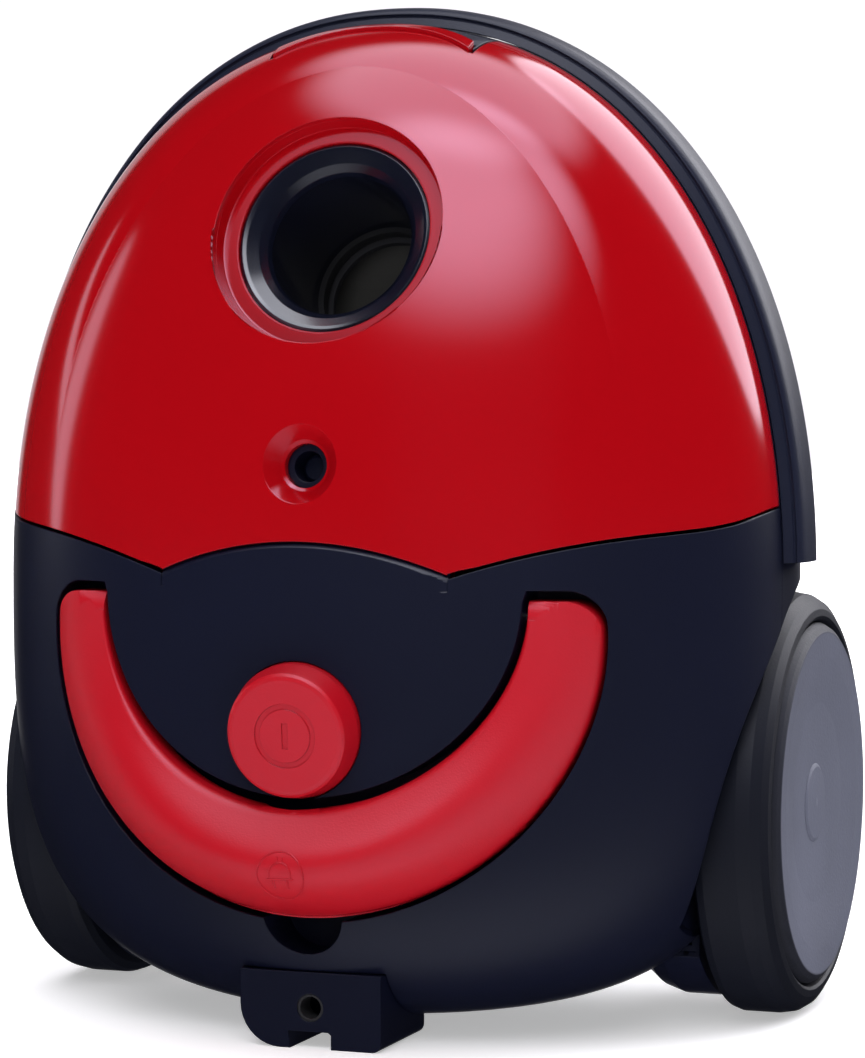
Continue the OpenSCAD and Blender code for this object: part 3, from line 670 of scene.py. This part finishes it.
def plastic(name, color, rough, spec=0.5, coat=0.0, coat_rough=0.03, grain=0.0, grain_scale=900.0,
            tint=0.06, tone=(0.88, 0.92, 1.0), edge=0.0005, metal=0.0, rough_var=0.05):
    """Material with a slight unevenness of colour and gloss, and optional grain and rounded edges."""
    m, nt, b = nodes_of(name)
    n = nt.nodes
    tc = n.new("ShaderNodeTexCoord")
    big = n.new("ShaderNodeTexNoise")
    big.inputs["Scale"].default_value = 14
    big.inputs["Detail"].default_value = 2
    nt.links.new(tc.outputs["Object"], big.inputs["Vector"])
    ramp = n.new("ShaderNodeMix")
    ramp.data_type = "RGBA"
    ramp.inputs["A"].default_value = (*[c * (1 - tint) for c in color], 1)
    ramp.inputs["B"].default_value = (*[min(1, c * (1 + tint)) for c in color], 1)
    nt.links.new(big.outputs["Fac"], ramp.inputs["Factor"])
    nt.links.new(ramp.outputs["Result"], b.inputs["Base Color"])
    fine = n.new("ShaderNodeTexNoise")
    fine.inputs["Scale"].default_value = grain_scale
    fine.inputs["Detail"].default_value = 3
    nt.links.new(tc.outputs["Object"], fine.inputs["Vector"])
    mr = n.new("ShaderNodeMapRange")
    mr.inputs["To Min"].default_value = max(0.0, rough - rough_var)
    mr.inputs["To Max"].default_value = rough + rough_var
    nt.links.new((big if grain == 0 else fine).outputs["Fac"], mr.inputs["Value"])
    nt.links.new(mr.outputs["Result"], b.inputs["Roughness"])
    b.inputs["Specular IOR Level"].default_value = spec
    b.inputs["Metallic"].default_value = metal
    b.inputs["Specular Tint"].default_value = (*tone, 1)
    b.inputs["Coat Weight"].default_value = coat
    b.inputs["Coat Roughness"].default_value = coat_rough
    last = None
    if edge > 0:
        bev = n.new("ShaderNodeBevel")
        bev.samples = 4
        bev.inputs["Radius"].default_value = edge
        last = bev.outputs["Normal"]
    if grain > 0:
        bump = n.new("ShaderNodeBump")
        bump.inputs["Strength"].default_value = grain
        bump.inputs["Distance"].default_value = 0.0002
        nt.links.new(fine.outputs["Fac"], bump.inputs["Height"])
        if last:
            nt.links.new(last, bump.inputs["Normal"])
        last = bump.outputs["Normal"]
    if last:
        nt.links.new(last, b.inputs["Normal"])
    return m


# What each material slot looks like
LOOKS = {
    "red_gloss": dict(color=(0.305, 0.0014, 0.004), rough=0.12, spec=0.8,
                      tone=(1.0, 0.74, 1.0), tint=0.04, rough_var=0.02),
    "red_satin": dict(color=(0.385, 0.0028, 0.009), rough=0.36, spec=0.5,
                      tone=(1.0, 0.78, 1.0), grain=0.25, grain_scale=1500, tint=0.05),
    "black_satin": dict(color=(0.0038, 0.0050, 0.0165), rough=0.36, spec=0.5,
                        grain=0.18, grain_scale=1700, tint=0.12),
    "black_rim": dict(color=(0.008, 0.010, 0.024), rough=0.42, spec=0.32,
                      grain=0.3, grain_scale=1600, tint=0.12),
    "black_gloss": dict(color=(0.004, 0.005, 0.012), rough=0.2, spec=1.0,
                        coat=0.3, coat_rough=0.1, tint=0.1, rough_var=0.03),
    "hub_grey": dict(color=(0.09, 0.097, 0.135), rough=0.55, spec=0.4,
                     grain=0.6, grain_scale=900, tint=0.28),
    "tyre_rubber": dict(color=(0.005, 0.006, 0.012), rough=0.5, spec=0.35,
                        grain=0.3, grain_scale=1100, tint=0.15),
    "seal_rubber": dict(color=(0.02, 0.02, 0.022), rough=0.65, spec=0.35, grain=0.4, tint=0.15),
    "steel": dict(color=(0.6, 0.6, 0.62), rough=0.28, spec=0.5,
                  grain=0.15, grain_scale=700, tint=0.04, metal=1.0),
    "spring_steel": dict(color=(0.5, 0.5, 0.52), rough=0.25, spec=0.5, tint=0.05, metal=1.0, edge=0),
    "inner_plastic": dict(color=(0.06, 0.062, 0.07), rough=0.48, spec=0.4, grain=0.3, tint=0.12),
    "filter_foam": dict(color=(0.05, 0.05, 0.055), rough=0.95, spec=0.1,
                        grain=1.0, grain_scale=420, tint=0.35, edge=0),
    "motor_metal": dict(color=(0.55, 0.56, 0.58), rough=0.38, spec=0.5,
                        grain=0.35, grain_scale=500, tint=0.06, metal=1.0),
    "rotor_metal": dict(color=(0.5, 0.3, 0.12), rough=0.4, spec=0.5,
                        grain=0.5, grain_scale=650, tint=0.2, metal=1.0),
    "board": dict(color=(0.02, 0.1, 0.04), rough=0.35, spec=0.5, grain=0.2, grain_scale=300, tint=0.25),
    "bag_paper": dict(color=(0.09, 0.088, 0.085), rough=0.85, spec=0.2,
                      grain=0.9, grain_scale=350, tint=0.12, edge=0),
    "card": dict(color=(0.035, 0.035, 0.04), rough=0.8, spec=0.2,
                 grain=0.6, grain_scale=450, tint=0.15, edge=0),
}
MAT = {name: plastic(name, **look) for name, look in LOOKS.items()}


def dark_rim(m, centre, r0, r1, color):
    """Darkens a wheel disc's outer band, by its distance from the axle."""
    nt = m.node_tree
    tc = nt.nodes.new("ShaderNodeTexCoord")
    off = nt.nodes.new("ShaderNodeVectorMath")
    off.operation = "SUBTRACT"
    off.inputs[1].default_value = centre
    nt.links.new(tc.outputs["Object"], off.inputs[0])
    flat = nt.nodes.new("ShaderNodeVectorMath")
    flat.operation = "MULTIPLY"
    flat.inputs[1].default_value = (0, 1, 1)
    nt.links.new(off.outputs["Vector"], flat.inputs[0])
    far = nt.nodes.new("ShaderNodeVectorMath")
    far.operation = "LENGTH"
    nt.links.new(flat.outputs["Vector"], far.inputs[0])
    band = nt.nodes.new("ShaderNodeMapRange")
    for k, v in zip(("From Min", "From Max"), (r0, r1)):
        band.inputs[k].default_value = v
    nt.links.new(far.outputs["Value"], band.inputs["Value"])
    both_colours = nt.nodes.new("ShaderNodeMix")
    both_colours.data_type = "RGBA"
    both_colours.inputs["B"].default_value = (*color, 1)
    base = nt.nodes["Principled BSDF"].inputs["Base Color"]
    nt.links.new(base.links[0].from_socket, both_colours.inputs["A"])
    nt.links.new(band.outputs["Result"], both_colours.inputs["Factor"])
    nt.links.new(both_colours.outputs["Result"], base)


def paint(o, slot):
    o.data.materials.clear()
    o.data.materials.append(MAT[slot])
    for p in o.data.polygons:
        p.material_index = 0


for sub in frame["record"]["subparts"]:
    node = frame["nodes"][sub["node"]]
    for s in node.material_slots:
        s.material = MAT["black_satin" if "indicator_" in sub["node"] and "spring" not in sub["node"]
                         else sub["material_slot"]]


def add(o, slot, body, *nodes):
    paint(o, slot)
    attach(o, body)
    if nodes:
        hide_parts(*nodes)
    return o


disc = frame["nodes"]["wheel_left"]
dark_rim(MAT["hub_grey"], tuple(disc.matrix_world.inverted() @ Vector((0, 0.0382, 0.072))), 0.0578, 0.0588,
         (0.012, 0.013, 0.021))

add(make_dust_cover(), "red_gloss", "lid", "dust_cover")
add(make_latch(), "red_gloss", "latch", "latch_tab")
add(make_socket_ledge(), "red_gloss", "lid")
add(make_rear_cover(), "black_satin", "chassis")
add(make_base_pan(), "black_satin", "chassis")
add(make_rim(), "black_rim", "chassis", "bumper_rim")
add(make_handle(), "red_satin", "handle", "carry_handle")
add(make_plug_mark(), "red_satin", "handle")

# ---------------------------------------------------------------- stage, light, camera
floor = new_object("floor", [(-6, -6, 0), (6, -6, 0), (6, 6, 0), (-6, 6, 0)], [(0, 1, 2, 3)])
fm, fnt, fb = nodes_of("floor_paper")
fn = fnt.nodes.new("ShaderNodeTexNoise")
fn.inputs["Scale"].default_value = 3
fr = fnt.nodes.new("ShaderNodeMix")
fr.data_type = "RGBA"
fr.inputs["A"].default_value = (0.88, 0.88, 0.89, 1)
fr.inputs["B"].default_value = (0.91, 0.91, 0.92, 1)
fnt.links.new(fn.outputs["Fac"], fr.inputs["Factor"])
fnt.links.new(fr.outputs["Result"], fb.inputs["Base Color"])
fb.inputs["Roughness"].default_value = 0.7
fb.inputs["Emission Color"].default_value = (1.0, 1.0, 1.0, 1)
ftc = fnt.nodes.new("ShaderNodeTexCoord")
flen = fnt.nodes.new("ShaderNodeVectorMath")
flen.operation = "LENGTH"
fnt.links.new(ftc.outputs["Object"], flen.inputs[0])
far = fnt.nodes.new("ShaderNodeMapRange")
far.interpolation_type = "SMOOTHSTEP"
for k, v in zip(("From Min", "From Max", "To Min", "To Max"), (0.35, 1.6, 0.4, 1.0)):
    far.inputs[k].default_value = v
fnt.links.new(flen.outputs["Value"], far.inputs["Value"])
fnt.links.new(far.outputs["Result"], fb.inputs["Emission Strength"])
floor.data.materials.append(fm)
floor.visible_glossy = False

# The white wall behind the cleaner, as the picture is taken
BEHIND = (-0.342, 0.9387, -0.04)
world = bpy.data.worlds.new("studio")
bpy.context.scene.world = world
world.use_nodes = True
wt = world.node_tree
bg = wt.nodes["Background"]
wtc = wt.nodes.new("ShaderNodeTexCoord")


def along(v):
    """World direction measured along v."""
    d = wt.nodes.new("ShaderNodeVectorMath")
    d.operation = "DOT_PRODUCT"
    wt.links.new(wtc.outputs["Generated"], d.inputs[0])
    d.inputs[1].default_value = tuple(v)
    return d.outputs["Value"]


def math_node(operation, a, b):
    d = wt.nodes.new("ShaderNodeMath")
    d.operation = operation
    for k, v in enumerate((a, b)):
        if isinstance(v, (int, float)):
            d.inputs[k].default_value = v
        elif v is not None:
            wt.links.new(v, d.inputs[k])
    return d.outputs["Value"]


def fade(value, v0, v1, to0, to1):
    d = wt.nodes.new("ShaderNodeMapRange")
    d.interpolation_type = "SMOOTHSTEP"
    wt.links.new(value, d.inputs["Value"])
    for k, v in zip(("From Min", "From Max", "To Min", "To Max"), (v0, v1, to0, to1)):
        d.inputs[k].default_value = v
    return d.outputs["Result"]


def glow(az, el, wide, tall, strength, soft=1.0):
    """Soft oval of light in the studio's ceiling or walls."""
    a, b = math.radians(az), math.radians(el)
    mid = Vector((math.sin(a) * math.cos(b), -math.cos(a) * math.cos(b), math.sin(b)))
    side = Vector((math.cos(a), math.sin(a), 0))
    u = math_node("MULTIPLY", along(side), 1 / wide)
    v = math_node("MULTIPLY", along(side.cross(mid)), 1 / tall)
    q = math_node("ADD", math_node("MULTIPLY", u, u), math_node("MULTIPLY", v, v))
    face = fade(along(mid), 0.0, 0.2, 0.0, 1.0)
    return math_node("MULTIPLY", fade(q, 1.0 - soft, 1.0, strength, 0.0), face)


level = fade(along(Vector((0, 0, 1))), 0.84, 0.93, 0.012, 3.1)
# Azimuth, elevation, half width, half height, strength and edge softness of each light area
GLOWS = (
    (5, 53, 0.52, 0.40, 4.3, 0.9),
    (149, 36, 0.46, 0.5, 4.2, 0.15),
    (-92, 12, 0.075, 0.27, 1.7, 0.25),
    (-147, 12, 0.3, 0.5, 0.55, 0.5),
    (20, -55, 1.0, 0.55, 0.5, 1.0),
)
for g in GLOWS:
    level = math_node("ADD", level, glow(*g))
level = math_node("MAXIMUM", level, fade(along(BEHIND), 0.93, 0.977, 0.0, 1.08))
bg.inputs["Color"].default_value = (0.98, 0.96, 1.0, 1)
wt.links.new(level, bg.inputs["Strength"])


def softbox(name, az, el, dist, w, h, power, aim=(0, -0.03, 0.18)):
    d = bpy.data.lights.new(name, "AREA")
    d.shape = "RECTANGLE"
    d.size, d.size_y = w, h
    d.energy = power
    o = bpy.data.objects.new(name, d)
    bpy.context.collection.objects.link(o)
    a, b = math.radians(az), math.radians(el)
    v = Vector((math.sin(a) * math.cos(b), -math.cos(a) * math.cos(b), math.sin(b)))
    o.location = Vector(aim) + v * dist
    o.rotation_euler = v.to_track_quat("Z", "Y").to_euler()
    return o


softbox("front_fill", 15, 20, 2.2, 1.4, 1.4, 10).visible_glossy = False

cam_data = bpy.data.cameras.new("camera")
cam = bpy.data.objects.new("camera", cam_data)
bpy.context.collection.objects.link(cam)
phi, theta = math.radians(20.02), math.radians(2.61)
back = Vector((math.sin(phi) * math.cos(theta), -math.cos(phi) * math.cos(theta), math.sin(theta)))
cam.location = (0.4341, -1.1601, 0.2216)
cam.rotation_euler = back.to_track_quat("Z", "Y").to_euler()
SENSOR_MM, FOCAL_PX, LONG_SIDE_PX = 36, 3603, 1058
cam_data.sensor_width = SENSOR_MM
cam_data.lens = FOCAL_PX / LONG_SIDE_PX * SENSOR_MM
cam_data.clip_start, cam_data.clip_end = 0.05, 50
bpy.context.scene.camera = cam
bpy.context.scene.view_settings.view_transform = "Standard"
